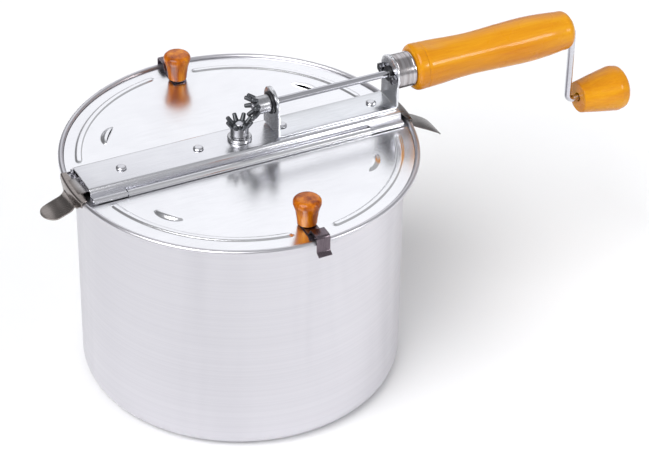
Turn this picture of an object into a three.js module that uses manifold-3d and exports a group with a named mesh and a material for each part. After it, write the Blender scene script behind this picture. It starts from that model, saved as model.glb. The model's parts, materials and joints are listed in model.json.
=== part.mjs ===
// Stovetop popcorn maker: a spun pot, a two-leaf lid hinged on a bridge, and a crank that turns a stirrer.
// Millimetres, +Z up. The origin is the centre of the pot's underside, and +X runs towards the handle.
import * as THREE from "three";
import { mergeVertices } from "three/addons/utils/BufferGeometryUtils.js";
import Module from "manifold-3d";

const wasm = await Module();
wasm.setup();

// Driving dimensions
const gap = 0.3; // air between touching pieces
const pot = { radius: 110.6, wall: 1.5, corner: 12, ledge: 166.9, mouth: 117.4 };
const bead = { radius: 119.2, roll: 1.8, top: 170 };
const lid = { radius: 117, sheet: 0.9, barrelX: 88.5, shoulderY: 23.5 };
const rib = { width: 5.4, height: 0.9, arcs: [[-165, -97, 104.4], [-79, -17, 107.2]] }; // arcs: from, to, radius
const hinge = { y: 19, z: 169.1, rod: 1.5, bore: 1.6, barrel: 2.65, reach: 113, eye: 89.2 };
const vent = { radius: 92, width: 5, halfAngle: 7, height: 2.2, angle: 35 };
const bridge = { halfLength: 113, halfWidth: 16, top: 176.5, sheet: 1.4, edge: 3 };
const bracket = { front: 23, rear: 113, halfWidth: 11.5, sheet: 1.4, frontEye: 11, rearEye: 13 };
const crank = { z: 199, radius: 2.4, start: 9, armX: 255.5, drop: 59.5, bend: 4.5, end: 297 };
const gear = { teeth: 8, rootR: 5.4, rootT: 11.6, tipR: 8.6, tipT: 7.6, tooth: 1.4, hub: 6.1, hubFrom: 10.8 };
const shaft = { radius: 3, bottom: 2.3, top: 188.6 };
const wire = { radius: 1.5, reach: 96, sweep: 22, low: 5.5, high: 11 };
const rivetX = { leftOuter: -85, leftInner: -30, bracketFront: 31, bracketRear: 98 };
const rivet = { head: 3.5, dome: 1.6, shank: 1.5, hole: 1.9, tail: 2.6 };
const ferrule = { from: 113.4, to: 127, radius: 12, wall: 0.8, boltY: 9 };
const handle = { from: 127.3, to: 252, bore: 3.2 };
const latch = { sheet: 0.8, leafHalf: 9, tongueHalf: 10, collarHalf: 19, leafTop: 174.6 };
const clip = { sheet: 0.8, halfWidth: 4.75, x: 3 };
const lidKnob = { x: 3, y: -98, from: 169.9, height: 19.4 };
const pin = { radius: 1, hole: 1.1, length: 11.6, driveX: 17, drivenZ: 183 }; // cross pins of the two gears
const round = { large: 60, medium: 24, small: 16 }; // sides of a turned shape

const lidBottom = pot.ledge + gap;
const lidTop = lidBottom + lid.sheet;
const bridgeUnder = bridge.top - bridge.sheet;
const bracketBase = bridge.top + gap;
const bracketTop = bracketBase + bracket.sheet;

const finish = {
  spunAluminium: { color: 0xd9d9e0, roughness: 0.35, metalness: 1 },
  brightSheet: { color: 0xe6e7ea, roughness: 0.22, metalness: 1 },
  steel: { color: 0xbfc0c4, roughness: 0.4, metalness: 1 },
  castGrey: { color: 0x6c6e72, roughness: 0.5, metalness: 1 },
  springSteel: { color: 0x8a8580, roughness: 0.4, metalness: 1 },
  chrome: { color: 0xdcdce2, roughness: 0.12, metalness: 1 },
  paleWood: { color: 0xf09a1c, roughness: 0.25, metalness: 0 },
  amberWood: { color: 0xb8560e, roughness: 0.15, metalness: 0 },
  black: { color: 0x15151a, roughness: 0.5, metalness: 0 },
};

const model = new THREE.Group();

function toSolid(geometry) {
  const bare = geometry.index ? geometry.toNonIndexed() : geometry.clone();
  bare.deleteAttribute("normal");
  bare.deleteAttribute("uv");
  const merged = mergeVertices(bare, 1e-4);
  const index = merged.index.array;
  const kept = [];
  for (let i = 0; i < index.length; i += 3) {
    const [a, b, c] = [index[i], index[i + 1], index[i + 2]];
    if (a !== b && b !== c && c !== a) kept.push(a, b, c);
  }
  const vertProperties = merged.attributes.position.array;
  const triVerts = new Uint32Array(kept);
  return new wasm.Manifold(new wasm.Mesh({ numProp: 3, vertProperties, triVerts }));
}

function toGeometry(solid) {
  const mesh = solid.getMesh();
  const geometry = new THREE.BufferGeometry();
  geometry.setAttribute("position", new THREE.BufferAttribute(mesh.vertProperties, 3));
  geometry.setIndex(new THREE.BufferAttribute(mesh.triVerts, 1));
  geometry.computeVertexNormals();
  return geometry;
}

function addPart(name, solid, look) {
  const mesh = new THREE.Mesh(toGeometry(solid), new THREE.MeshStandardMaterial(look));
  mesh.name = name;
  model.add(mesh);
  return mesh;
}

// Turned solid about +Z; the profile is a list of [radius, z] that runs up its outside.
function turned(profile, sides) {
  const points = profile.map(([r, z]) => new THREE.Vector2(r, z));
  return toSolid(new THREE.LatheGeometry(points, sides).rotateX(Math.PI / 2));
}

// Turned solid about +X at a height; the profile is a list of [radius, x] that runs towards +X.
function turnedAlongX(profile, z, sides) {
  const points = profile.map(([r, x]) => new THREE.Vector2(r, x));
  const geometry = new THREE.LatheGeometry(points, sides).rotateX(Math.PI / 2);
  return toSolid(geometry.rotateY(Math.PI / 2).translate(0, 0, z));
}

function box(x0, x1, y0, y1, z0, z1) {
  const geometry = new THREE.BoxGeometry(x1 - x0, y1 - y0, z1 - z0);
  return toSolid(geometry.translate((x0 + x1) / 2, (y0 + y1) / 2, (z0 + z1) / 2));
}

function rodZ(radius, z0, z1, x = 0, y = 0, sides = round.small) {
  const geometry = new THREE.CylinderGeometry(radius, radius, z1 - z0, sides);
  return toSolid(geometry.rotateX(Math.PI / 2).translate(x, y, (z0 + z1) / 2));
}

function rodX(radius, x0, x1, y = 0, z = 0, sides = round.small) {
  const geometry = new THREE.CylinderGeometry(radius, radius, x1 - x0, sides);
  return toSolid(geometry.rotateZ(-Math.PI / 2).translate((x0 + x1) / 2, y, z));
}

// Straight extrusions of an outline: drawn in XY and raised in Z, in XZ along Y, or in YZ along X.
function prismZ(shape, z0, z1, curveSegments = 12) {
  const geometry = new THREE.ExtrudeGeometry(shape, { depth: z1 - z0, bevelEnabled: false, curveSegments });
  return toSolid(geometry.translate(0, 0, z0));
}

function prismY(shape, y0, y1, curveSegments = 12) {
  const geometry = new THREE.ExtrudeGeometry(shape, { depth: y1 - y0, bevelEnabled: false, curveSegments });
  return toSolid(geometry.rotateX(Math.PI / 2).translate(0, y1, 0));
}

function prismX(shape, x0, x1, curveSegments = 12) {
  const geometry = new THREE.ExtrudeGeometry(shape, { depth: x1 - x0, bevelEnabled: false, curveSegments });
  const [x, y, z] = [[1, 0, 0], [0, 1, 0], [0, 0, 1]].map((v) => new THREE.Vector3(...v));
  return toSolid(geometry.applyMatrix4(new THREE.Matrix4().makeBasis(y, z, x)).translate(x0, 0, 0));
}

function outline(points) {
  return new THREE.Shape(points.map(([u, v]) => new THREE.Vector2(u, v)));
}

// Points of an arc, angles in degrees.
function arc(cx, cy, radius, from, to, steps) {
  const points = [];
  for (let i = 0; i <= steps; i++) {
    const angle = THREE.MathUtils.degToRad(from + ((to - from) * i) / steps);
    points.push([cx + radius * Math.cos(angle), cy + radius * Math.sin(angle)]);
  }
  return points;
}

// Outline of a bent strip of sheet whose middle line is a list of points.
function stripOutline(line, sheet) {
  const points = line.map(([u, v]) => new THREE.Vector2(u, v));
  const sideways = points.map((p, i) => {
    const before = points[Math.max(i - 1, 0)];
    const after = points[Math.min(i + 1, points.length - 1)];
    const along = after.clone().sub(before).normalize();
    return new THREE.Vector2(-along.y, along.x).multiplyScalar(sheet / 2);
  });
  const left = points.map((p, i) => p.clone().add(sideways[i]));
  const right = points.map((p, i) => p.clone().sub(sideways[i]));
  return new THREE.Shape([...left, ...right.reverse()]);
}

// Piece of a flat ring between two radii and two angles.
function ringSector(inner, outer, from, to, z0, z1, steps) {
  const rim = arc(0, 0, outer, from, to, steps);
  const hub = arc(0, 0, inner, to, from, steps);
  return prismZ(outline([...rim, ...hub]), z0, z1);
}

function halfTurn(solid) {
  return solid.rotate([0, 0, 180]);
}

// Wire of round section along a curve.
function wireAlong(curve, radius, steps) {
  const section = new THREE.Shape().absarc(0, 0, radius, 0, 2 * Math.PI);
  return toSolid(new THREE.ExtrudeGeometry(section, { steps, extrudePath: curve, curveSegments: 4 }));
}

function buildPot() {
  const { radius, wall, corner, ledge, mouth } = pot;
  const inner = radius - wall;
  const floorEdge = radius - corner;
  const profile = [
    [0, 0],
    ...arc(floorEdge, corner, corner, -90, 0, 6),
    [radius, 157],
    [radius + 0.6, 161],
    [radius + 3, 164.4],
    [mouth - 0.6, 165.6],
    ...arc(bead.radius, bead.top - bead.roll, bead.roll, -120, 180, 9),
    [mouth, ledge],
    [radius + 1.5, ledge],
    [inner + 0.4, ledge - 1.6],
    [inner, ledge - 4],
    ...arc(floorEdge, corner, corner - wall, 0, -90, 5),
    [0, wall],
  ];
  addPart("pot", turned(profile, round.large), finish.spunAluminium);
}

// Inverted channel across the mouth, with an eye for a hinge rod at each corner.
function buildBridge() {
  const { halfLength, halfWidth, top, sheet, edge } = bridge;
  const arch = (w, roof, r) => [
    [w, lidBottom],
    ...arc(w - r, roof - r, r, 0, 90, 4),
    ...arc(r - w, roof - r, r, 90, 180, 4),
    [-w, lidBottom],
  ];
  const inside = arch(halfWidth - sheet, top - sheet, edge - sheet).reverse();
  let solid = prismX(outline([...arch(halfWidth, top, edge), ...inside]), -halfLength, halfLength);
  for (const side of [-1, 1]) {
    for (const end of [-1, 1]) {
      const [x0, x1] = [end * hinge.eye, end * (halfLength - 0.5)].sort((a, b) => a - b);
      const [y0, y1] = [side * (halfWidth - 0.7), side * hinge.y].sort((a, b) => a - b);
      const loop = rodX(hinge.barrel, x0, x1, side * hinge.y, hinge.z);
      solid = solid.add(loop.subtract(box(x0 - 1, x1 + 1, -30, 30, lidBottom - 2, lidBottom)));
      solid = solid.add(box(x0, x1, y0, y1, hinge.z, hinge.z + hinge.barrel));
    }
    solid = solid.subtract(rodX(hinge.bore, -halfLength - 1, halfLength + 1, side * hinge.y, hinge.z));
  }
  for (const x of Object.values(rivetX)) {
    solid = solid.subtract(rodZ(rivet.hole, bridgeUnder - 1, top + 1, x));
  }
  solid = solid.subtract(rodZ(4.9, bridgeUnder - 1, top + 1, 0, 0, round.medium));
  addPart("bridge", solid, finish.steel);
}

// Plate under the bridge that carries the stirrer's bush between two rivets.
function buildBearingPlate() {
  const under = bridgeUnder - gap;
  let solid = box(-38, 39, -11, 11, under - 1.2, under);
  solid = solid.subtract(rodZ(4.9, under - 2, under + 1, 0, 0, round.medium));
  for (const x of [rivetX.leftInner, rivetX.bracketFront]) {
    solid = solid.subtract(rodZ(rivet.hole, under - 2, under + 1, x));
  }
  addPart("bearing_plate", solid, finish.steel);
}

// Long U of sheet on top of the bridge whose two ends stand up and carry the crank rod.
function buildGearBracket() {
  const { front, rear, halfWidth, sheet, frontEye, rearEye } = bracket;
  const bendSteps = 4;
  const side = [
    [front, crank.z + rearEye + 1],
    ...arc(front + 2.4, bracketBase + 2.4, 2.4, 180, 270, bendSteps),
    ...arc(rear - 2.4, bracketBase + 2.4, 2.4, 270, 360, bendSteps),
    [rear, crank.z + rearEye + 1],
    [rear - sheet, crank.z + rearEye + 1],
    ...arc(rear - 2.4, bracketBase + 2.4, 1, 360, 270, bendSteps),
    ...arc(front + 2.4, bracketBase + 2.4, 1, 270, 180, bendSteps),
    [front + sheet, crank.z + rearEye + 1],
  ];
  let solid = prismY(outline(side), -rearEye - 1, rearEye + 1);
  const face = (eye) => outline([
    [-halfWidth, bracketBase - 1],
    [halfWidth, bracketBase - 1],
    [halfWidth, crank.z - 6],
    ...arc(0, crank.z, eye, -20, 200, 16),
    [-halfWidth, crank.z - 6],
  ]);
  const middle = (front + rear) / 2;
  const trimmed = prismX(face(frontEye), front - 1, middle).add(prismX(face(rearEye), middle - 1, rear + 1));
  solid = solid.intersect(trimmed);
  solid = solid.subtract(rodX(4.6, front - 1, front + 3, 0, crank.z, round.medium));
  solid = solid.subtract(rodX(4.2, rear - 3, rear + 1, 0, crank.z, round.medium));
  for (const y of [-ferrule.boltY, ferrule.boltY]) {
    solid = solid.subtract(rodX(2, rear - 3, rear + 1, y, crank.z));
  }
  for (const x of [rivetX.bracketFront, rivetX.bracketRear]) {
    solid = solid.subtract(rodZ(rivet.hole, bracketBase - 1, bracketTop + 1, x));
  }
  addPart("gear_bracket", solid, finish.steel);
}

function buildRivet(name, x, seat, tailTop) {
  const { head, dome, shank, tail } = rivet;
  const profile = [
    [0, tailTop - 1.3],
    [tail, tailTop - 1.3],
    [tail, tailTop],
    [shank, tailTop],
    [shank, seat],
    [head, seat],
    [head, seat + 0.5],
    [head * 0.72, seat + dome * 0.8],
    [0, seat + dome],
  ];
  addPart(name, turned(profile, round.small).translate([x, 0, 0]), finish.steel);
}

function buildRivets() {
  const onBridge = bridge.top + gap;
  const onBracket = bracketTop + gap;
  buildRivet("rivet_left_outer", rivetX.leftOuter, onBridge, latch.leafTop - latch.sheet - 0.5);
  buildRivet("rivet_left_inner", rivetX.leftInner, onBridge, bridgeUnder - 1.8);
  buildRivet("rivet_bracket_front", rivetX.bracketFront, onBracket, bridgeUnder - 1.8);
  buildRivet("rivet_bracket_rear", rivetX.bracketRear, onBracket, latch.leafTop - latch.sheet - 0.5);
}

function buildHingeRods() {
  for (const [name, side] of [["front_hinge_rod", -1], ["rear_hinge_rod", 1]]) {
    addPart(name, rodX(hinge.rod, -hinge.reach, hinge.reach, side * hinge.y, hinge.z), finish.steel);
  }
}

// Front lid leaf: a half disc with a rolled barrel, two raised ribs and two hooded vents.
function frontLidSolid() {
  const { barrelX, shoulderY } = lid;
  const start = THREE.MathUtils.radToDeg(Math.asin(shoulderY / lid.radius));
  const plan = [
    ...arc(0, 0, lid.radius, -180 + start, -start, 44),
    [barrelX, -shoulderY],
    [barrelX, -hinge.y - 1.5],
    [-barrelX, -hinge.y - 1.5],
    [-barrelX, -shoulderY],
  ];
  let solid = prismZ(outline(plan), lidBottom, lidTop);
  solid = solid.add(rodX(hinge.barrel, -barrelX, barrelX, -hinge.y, hinge.z));
  for (const [from, to, radius] of rib.arcs) {
    const [inner, outer] = [radius - rib.width / 2, radius + rib.width / 2];
    solid = solid.add(ringSector(inner, outer, from, to, lidTop - 0.4, lidTop + rib.height, 18));
  }
  for (const angle of [-vent.angle, vent.angle - 180]) {
    const [from, to] = [angle - vent.halfAngle, angle + vent.halfAngle];
    const [inner, outer] = [vent.radius - vent.width / 2, vent.radius + vent.width / 2];
    const roof = lidTop + vent.height;
    solid = solid.add(ringSector(inner, outer, from, to, lidTop - 0.4, roof, 6));
    const throat = ringSector(inner - 1, outer - 0.8, from + 0.6, to - 0.6, lidBottom - 1, roof - 0.8, 6);
    solid = solid.subtract(throat);
  }
  solid = solid.subtract(rodX(hinge.bore, -barrelX - 1, barrelX + 1, -hinge.y, hinge.z));
  return solid.subtract(rodZ(2.3, lidBottom - 1, lidTop + 1, lidKnob.x, lidKnob.y));
}

function lidKnobSolid() {
  const { from, height } = lidKnob;
  const boreTop = from + 12.5;
  const profile = [
    [2.2, from],
    [6.3, from],
    [6.7, from + 0.6],
    [7, from + 4.5],
    [7.8, from + 9.9],
    [8.8, from + 13.9],
    ...arc(9.3 - 2.4, from + 16.3, 2.4, 0, 70, 4),
    [0, from + height],
    [0, boreTop],
    [2.2, boreTop],
    [2.2, from],
  ];
  return turned(profile, round.medium).translate([lidKnob.x, lidKnob.y, 0]);
}

function lidScrewSolid() {
  const seat = lidBottom - gap;
  const profile = [
    [0, seat - 2.2],
    [3, seat - 2.2],
    [3.8, seat - 1.2],
    [3.8, seat],
    [1.9, seat],
    [1.9, lidKnob.from + 11.5],
    [0, lidKnob.from + 11.5],
  ];
  return turned(profile, round.small).translate([lidKnob.x, lidKnob.y, 0]);
}

// Spring clip under the lid knob: flat on the lid, up and over the pot's bead, then down outside it.
function lidClipSolid() {
  const flat = lidTop + 0.9;
  const line = [
    [-93, flat],
    [-108, flat],
    [-110.6, flat + 1],
    [-112.4, 173.2],
    [-114, 174.1],
    [-120.6, 174.1],
    [-121.8, 173.2],
    [-122.1, 171.5],
    [-122.1, 163.2],
    [-122.9, 161.6],
    [-125.6, 161],
  ];
  let solid = prismX(stripOutline(line, clip.sheet), clip.x - clip.halfWidth, clip.x + clip.halfWidth);
  return solid.subtract(rodZ(2.4, flat - 2, flat + 2, lidKnob.x, lidKnob.y));
}

function buildLidLeaves() {
  const pieces = [
    ["lid", frontLidSolid(), finish.brightSheet],
    ["lid_knob", lidKnobSolid(), finish.amberWood],
    ["lid_screw", lidScrewSolid(), finish.steel],
    ["lid_clip", lidClipSolid(), finish.springSteel],
  ];
  for (const [name, solid, look] of pieces) {
    addPart("front_" + name, solid, look);
    addPart("rear_" + name, halfTurn(solid), look);
  }
}

// Side latch of spring strip: a leaf riveted under the bridge, a saddle on the bead and a thumb tongue.
function latchSolid(tongue, rivetAt) {
  const { sheet, leafHalf, tongueHalf, collarHalf, leafTop } = latch;
  const leafZ = leafTop - sheet / 2;
  const saddle = bead.top + gap;
  const inside = bead.radius + bead.roll + 0.4;
  const saddleZ = saddle + sheet / 2;
  const flatTo = rivetAt + 3.5;
  const knee = [(flatTo + bridge.halfLength) / 2, (leafZ + saddleZ) / 2 + 0.4];
  const leaf = [
    [rivetAt - 10, leafZ],
    [flatTo, leafZ],
    knee,
    [bridge.halfLength, saddleZ + 0.1],
    [bead.radius - 1, saddleZ],
  ];
  let solid = prismY(stripOutline(leaf, sheet), -leafHalf, leafHalf);
  const collar = [
    [pot.mouth - 1.2, saddle],
    [inside, saddle],
    [inside, 161.6],
    [inside + sheet, 161.6],
    [inside + sheet, saddle + 0.2],
    [inside + sheet - 0.6, saddle + sheet],
    [pot.mouth - 1.2, saddle + sheet],
    [pot.mouth - 1.2, saddle],
  ];
  const ring = turned(collar, 96);
  solid = solid.add(ring.intersect(box(100, 130, -collarHalf, collarHalf, 150, 180)));
  const tip = tongue[tongue.length - 1][0];
  const plan = [
    [inside + 0.2, -tongueHalf],
    ...arc(tip - tongueHalf, 0, tongueHalf, -90, 90, 12),
    [inside + 0.2, tongueHalf],
  ];
  const bladeLine = [[inside + 0.3, 163.4], ...tongue];
  const blade = prismY(stripOutline(bladeLine, sheet), -tongueHalf - 1, tongueHalf + 1);
  solid = solid.add(blade.intersect(prismZ(outline(plan), 130, 172)));
  return solid.subtract(rodZ(2.2, leafZ - 2, leafZ + 2, rivetAt));
}

function buildLatches() {
  const leftTongue = [[124, 160.2], [129, 158], [135, 156], [142, 156]];
  const rightTongue = [[124, 160], [131, 155.6], [139.5, 151], [147, 146], [152, 140]];
  addPart("left_latch", halfTurn(latchSolid(leftTongue, -rivetX.leftOuter)), finish.springSteel);
  addPart("right_latch", latchSolid(rightTongue, rivetX.bracketRear), finish.springSteel);
}

// Flanged bush of the stirrer's shaft, with its nut under the bearing plate.
function buildShaftBush() {
  const seat = bridge.top + gap;
  const bush = [
    [3.1, 169.6],
    [4.6, 169.6],
    [4.6, seat],
    [8.2, seat],
    [8.2, seat + 1.4],
    [7.4, seat + 2.2],
    [3.1, seat + 2.2],
    [3.1, 169.6],
  ];
  addPart("shaft_bush", turned(bush, round.medium), finish.castGrey);
  const nutTop = bridgeUnder - 1.8;
  const hex = rodZ(8, nutTop - 3, nutTop, 0, 0, 6);
  const thread = rodZ(4.9, nutTop - 4, nutTop + 1, 0, 0, round.medium);
  addPart("shaft_bush_nut", hex.subtract(thread), finish.steel);
}

// Bushes that carry the crank rod in the bracket's two eyes.
function buildCrankBushes() {
  const bore = crank.radius + 0.1;
  const front = [
    [bore, 21.3],
    [7.4, 21.3],
    [7.8, 21.7],
    [7.8, 22.7],
    [4.3, 22.7],
    [4.3, 26],
    [bore, 26],
    [bore, 21.3],
  ];
  addPart("front_crank_bush", turnedAlongX(front, crank.z, round.medium), finish.black);
  const rear = [
    [bore, 109.6],
    [5.4, 109.6],
    [5.4, 111.3],
    [3.9, 111.3],
    [3.9, 112.8],
    [bore, 112.8],
    [bore, 109.6],
  ];
  addPart("rear_crank_bush", turnedAlongX(rear, crank.z, round.medium), finish.black);
}

// Chrome cup between the bracket and the wooden grip.
function buildFerrule() {
  const { from, to, radius, wall, boltY } = ferrule;
  const cup = [
    [3.4, from],
    [radius - 0.5, from],
    [radius, from + 0.5],
    [radius, to],
    [radius - wall, to],
    [radius - wall, from + 1],
    [3.4, from + 1],
    [3.4, from],
  ];
  let solid = turnedAlongX(cup, crank.z, round.medium);
  for (const y of [-boltY, boltY]) {
    solid = solid.subtract(rodX(1.8, from - 1, from + 2, y, crank.z));
  }
  addPart("ferrule", solid, finish.chrome);
}

// Hex-headed screws through the bracket and the ferrule into the wood.
function buildFerruleBolts() {
  for (const [name, side] of [["ferrule_bolt_front", -1], ["ferrule_bolt_rear", 1]]) {
    const y = side * ferrule.boltY;
    const head = rodX(3.6, 108.2, 111.3, y, crank.z, 6);
    addPart(name, head.add(rodX(1.5, 111, 123, y, crank.z)), finish.steel);
  }
}

// Wooden grip: a spigot inside the ferrule, a full shoulder, a waist and a swelling, bored for the rod.
function buildHandle() {
  const { from, to, bore } = handle;
  const swell = [[16.2, 134], [15.6, 146], [14.9, 158], [14.4, 172], [14.7, 184], [15.3, 198], [15.7, 212],
    [15.6, 221], [14.8, 233], [13.5, 244]];
  const curve = new THREE.SplineCurve(swell.map(([r, x]) => new THREE.Vector2(r, x)));
  const grip = curve.getPoints(16).map((p) => [p.x, p.y]);
  const spigot = ferrule.radius - ferrule.wall - gap;
  const profile = [
    [bore, ferrule.from + 1.3],
    [spigot, ferrule.from + 1.3],
    [spigot, from],
    [13.6, from],
    [15.2, from + 1.6],
    [16, from + 4],
    ...grip,
    [12.2, to - 3],
    [9.6, to - 0.8],
    [7.5, to],
    [bore, to],
    [bore, ferrule.from + 1.3],
  ];
  let solid = turnedAlongX(profile, crank.z, round.medium);
  for (const y of [-ferrule.boltY, ferrule.boltY]) {
    solid = solid.subtract(rodX(1.8, ferrule.from, 124, y, crank.z));
  }
  addPart("handle", solid, finish.paleWood);
}

// Crank: one rod through the grip, bent down into an arm and bent out again into the knob's pin.
function buildCrankRod() {
  const { z, radius, start, armX, drop, bend, end } = crank;
  const low = z - drop;
  const overlap = 0.3;
  const pull = bend * 0.448; // control points that make a bend close to a quarter circle
  const point = (x, height) => new THREE.Vector3(x, 0, height);
  const upper = new THREE.CubicBezierCurve3(point(armX - bend, z), point(armX - pull, z),
    point(armX, z - pull), point(armX, z - bend));
  const lower = new THREE.CubicBezierCurve3(point(armX, low + bend), point(armX, low + pull),
    point(armX + pull, low), point(armX + bend, low));
  const section = new THREE.Shape().absarc(0, 0, radius, 0, 2 * Math.PI);
  let solid = rodX(radius, start, armX - bend + overlap, 0, z);
  for (const curve of [upper, lower]) {
    const elbow = new THREE.ExtrudeGeometry(section, { steps: 6, extrudePath: curve, curveSegments: 8 });
    solid = solid.add(toSolid(elbow));
  }
  solid = solid.add(rodZ(radius, low + bend - overlap, z - bend + overlap, armX));
  solid = solid.add(rodX(radius, armX + bend - overlap, end, 0, low));
  addPart("crank_rod", solid.subtract(rodZ(pin.hole, z - 4, z + 4, pin.driveX)), finish.steel);
}

function buildCrankKnob() {
  const low = crank.z - crank.drop;
  const bore = crank.radius + 0.3;
  const mouth = crank.radius + 1;
  const depth = crank.end + 1;
  const profile = [
    [mouth, 264],
    [10.6, 264],
    [11.6, 265],
    [13.9, 277.5],
    [15.8, 289.5],
    ...arc(16.4 - 6, 295, 6, -5, 72, 5),
    [0, 301.5],
    [0, depth],
    [bore, depth],
    [bore, 267],
    [mouth, 264],
  ];
  addPart("crank_knob", turnedAlongX(profile, low, round.medium), finish.paleWood);
}

// Gear with splayed finger teeth about +Z; the axes of the pair cross at the local origin, t below it.
function gearSolid(hubTo, bore) {
  const { teeth, rootR, rootT, tipR, tipT, tooth, hub, hubFrom } = gear;
  const body = [
    [bore, -hubTo],
    [hub, -hubTo],
    [hub, -hubFrom - 1.2],
    [hub - 1.2, -hubFrom],
    [bore, -hubFrom],
    [bore, -hubTo],
  ];
  let solid = turned(body, round.medium);
  const root = new THREE.Vector3(rootR, 0, -rootT);
  const tip = new THREE.Vector3(tipR, 0, -tipT);
  const along = tip.clone().sub(root);
  const upright = new THREE.Vector3(0, 1, 0);
  const turn = new THREE.Quaternion().setFromUnitVectors(upright, along.clone().normalize());
  const middle = root.clone().add(tip).multiplyScalar(0.5);
  const finger = new THREE.CylinderGeometry(tooth, tooth * 1.25, along.length(), 8);
  finger.applyQuaternion(turn).translate(middle.x, middle.y, middle.z);
  const one = toSolid(finger);
  for (let i = 0; i < teeth; i++) {
    solid = solid.add(one.rotate([0, 0, (360 / teeth) * i]));
  }
  return solid;
}

// Drive gear on the crank rod, driven gear on the stirrer's shaft, each with its cross pin.
function buildGears() {
  const halfPitch = 180 / gear.teeth;
  const drive = gearSolid(21, crank.radius + 0.1).rotate([0, 0, halfPitch]).rotate([0, -90, 0]);
  const driveHole = rodZ(pin.hole, crank.z - 8, crank.z + 8, pin.driveX);
  addPart("drive_gear", drive.translate([0, 0, crank.z]).subtract(driveHole), finish.castGrey);
  const driven = gearSolid(18.9, shaft.radius + 0.1).translate([0, 0, crank.z]);
  addPart("driven_gear", driven.subtract(rodX(pin.hole, -8, 8, 0, pin.drivenZ)), finish.castGrey);
  const half = pin.length / 2;
  addPart("drive_gear_pin", rodZ(pin.radius, crank.z - half, crank.z + half, pin.driveX), finish.steel);
  addPart("driven_gear_pin", rodX(pin.radius, -half, half, 0, pin.drivenZ), finish.steel);
}

// Stirrer: an upright shaft and two bent wires that sweep just above the pot's floor.
function buildStirrer() {
  const { radius, reach, sweep, low, high } = wire;
  const crossHole = radius + 0.3;
  let post = rodZ(shaft.radius, shaft.bottom, shaft.top, 0, 0, round.medium);
  post = post.subtract(rodX(crossHole, -4, 4, 0, low));
  post = post.subtract(rodX(crossHole, -4, 4, 0, high).rotate([0, 0, 90]));
  post = post.subtract(rodX(pin.hole, -4, 4, 0, pin.drivenZ));
  addPart("stir_shaft", post, finish.steel);
  const bent = (scale, z) => new THREE.CatmullRomCurve3(
    [[-1, -1], [-0.62, -0.72], [-0.28, -0.18], [-0.05, 0], [0.05, 0], [0.28, 0.18], [0.62, 0.72], [1, 1]].map(
      ([u, v]) => new THREE.Vector3(u * reach * scale, v * sweep * scale, z)));
  addPart("stir_wire_long", wireAlong(bent(1, low), radius, 28), finish.steel);
  addPart("stir_wire_short", wireAlong(bent(0.72, high), radius, 22).rotate([0, 0, 90]), finish.steel);
  const seat = bridge.top + gap + 2.2 + gap;
  const washer = [[3.1, seat], [6.4, seat], [6.4, seat + 0.5], [3.1, seat + 0.5], [3.1, seat]];
  addPart("shaft_washer", turned(washer, round.medium), finish.chrome);
}

buildPot();
buildBridge();
buildBearingPlate();
buildGearBracket();
buildRivets();
buildHingeRods();
buildLidLeaves();
buildLatches();
buildShaftBush();
buildCrankBushes();
buildFerrule();
buildFerruleBolts();
buildHandle();
buildGears();
buildCrankRod();
buildCrankKnob();
buildStirrer();

export default model;
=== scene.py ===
import json
import math

import bmesh
import bpy
from mathutils import Matrix, Vector


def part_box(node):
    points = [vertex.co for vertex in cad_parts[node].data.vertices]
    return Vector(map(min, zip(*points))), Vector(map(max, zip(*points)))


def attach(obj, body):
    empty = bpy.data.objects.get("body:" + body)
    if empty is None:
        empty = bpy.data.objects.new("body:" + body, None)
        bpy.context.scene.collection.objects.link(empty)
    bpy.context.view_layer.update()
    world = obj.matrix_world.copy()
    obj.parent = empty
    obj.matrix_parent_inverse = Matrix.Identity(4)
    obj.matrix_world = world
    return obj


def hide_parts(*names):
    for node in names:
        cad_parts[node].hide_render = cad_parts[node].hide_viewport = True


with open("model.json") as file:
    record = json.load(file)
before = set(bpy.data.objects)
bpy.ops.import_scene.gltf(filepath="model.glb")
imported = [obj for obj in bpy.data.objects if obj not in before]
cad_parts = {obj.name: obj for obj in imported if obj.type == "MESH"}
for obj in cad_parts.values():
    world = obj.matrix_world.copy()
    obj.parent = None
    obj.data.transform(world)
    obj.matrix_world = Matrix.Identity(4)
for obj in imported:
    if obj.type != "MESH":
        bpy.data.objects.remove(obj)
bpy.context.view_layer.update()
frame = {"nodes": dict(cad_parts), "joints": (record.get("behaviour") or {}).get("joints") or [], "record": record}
mm = 0.001  # sizes below are in millimetres, meshes are in metres

jointAt = {joint["name"]: Vector(joint.get("pos_m", (0, 0, 0))) / mm for joint in frame["joints"]}
hingeY = -jointAt["front_lid_hinge"].y
hingeZ = jointAt["front_lid_hinge"].z
crankZ = jointAt["crank_spin"].z
knobZ = jointAt["crank_knob_spin"].z


def boxOf(node):
    return [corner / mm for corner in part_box(node)]


rimRadius, potHeight = boxOf("pot")[1].x, boxOf("pot")[1].z
bridgeLow, bridgeHigh = boxOf("bridge")
bridgeHalf, bridgeTop = bridgeHigh.x, bridgeHigh.z
bracketLow, bracketHigh = boxOf("gear_bracket")
lidBottom = bridgeLow.z
lidSheet = 0.9
lidTop = lidBottom + lidSheet

bodyOf = {node: body for body, nodes in frame["record"]["behaviour"]["bodies"].items() for node in nodes}

halfTurn = Matrix.Rotation(math.pi, 4, "Z")
pointsX = Matrix.Rotation(math.pi / 2, 4, "Y")  # lays a shape turned about Z along +X
onCrankLine = Matrix.Translation((0, 0, crankZ * mm)) @ pointsX
inPlace = Matrix.Identity(4)


# Outlines: lists of (u, v) in millimetres

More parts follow.
